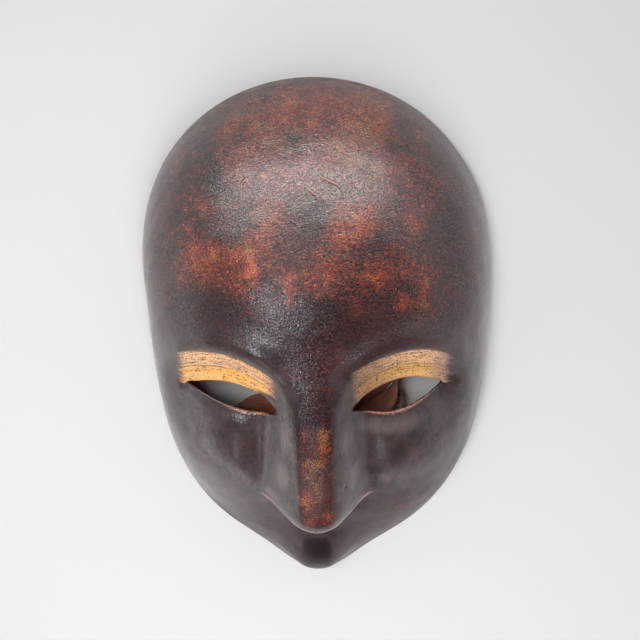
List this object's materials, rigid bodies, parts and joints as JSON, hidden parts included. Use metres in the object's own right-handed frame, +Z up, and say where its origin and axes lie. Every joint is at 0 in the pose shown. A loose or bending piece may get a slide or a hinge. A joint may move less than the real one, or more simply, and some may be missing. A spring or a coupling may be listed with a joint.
{
  "type": "venetian mask",
  "caption": "Full-length carnival mask of varnished papier-mache with almond eye holes, a wedge nose and satin ties, lying face up",
  "frame": {"origin": "On the table, under the middle of the mask's bounding box", "axes": "+Y from the lip to the crown, +X to the right of a viewer who faces the mask, +Z up from the table through the face"},
  "size_m": [0.171, 0.2464, 0.066],
  "materials": {
    "lacquered_paper": "dark purple-brown varnish over papier-mache, sponged with red, orange and gold",
    "satin": "dark brown satin"
  },
  "bodies": {
    "root": {"mask_shell": "lacquered_paper", "ribbon_left": "satin", "ribbon_right": "satin"}
  },
  "joints": []
}
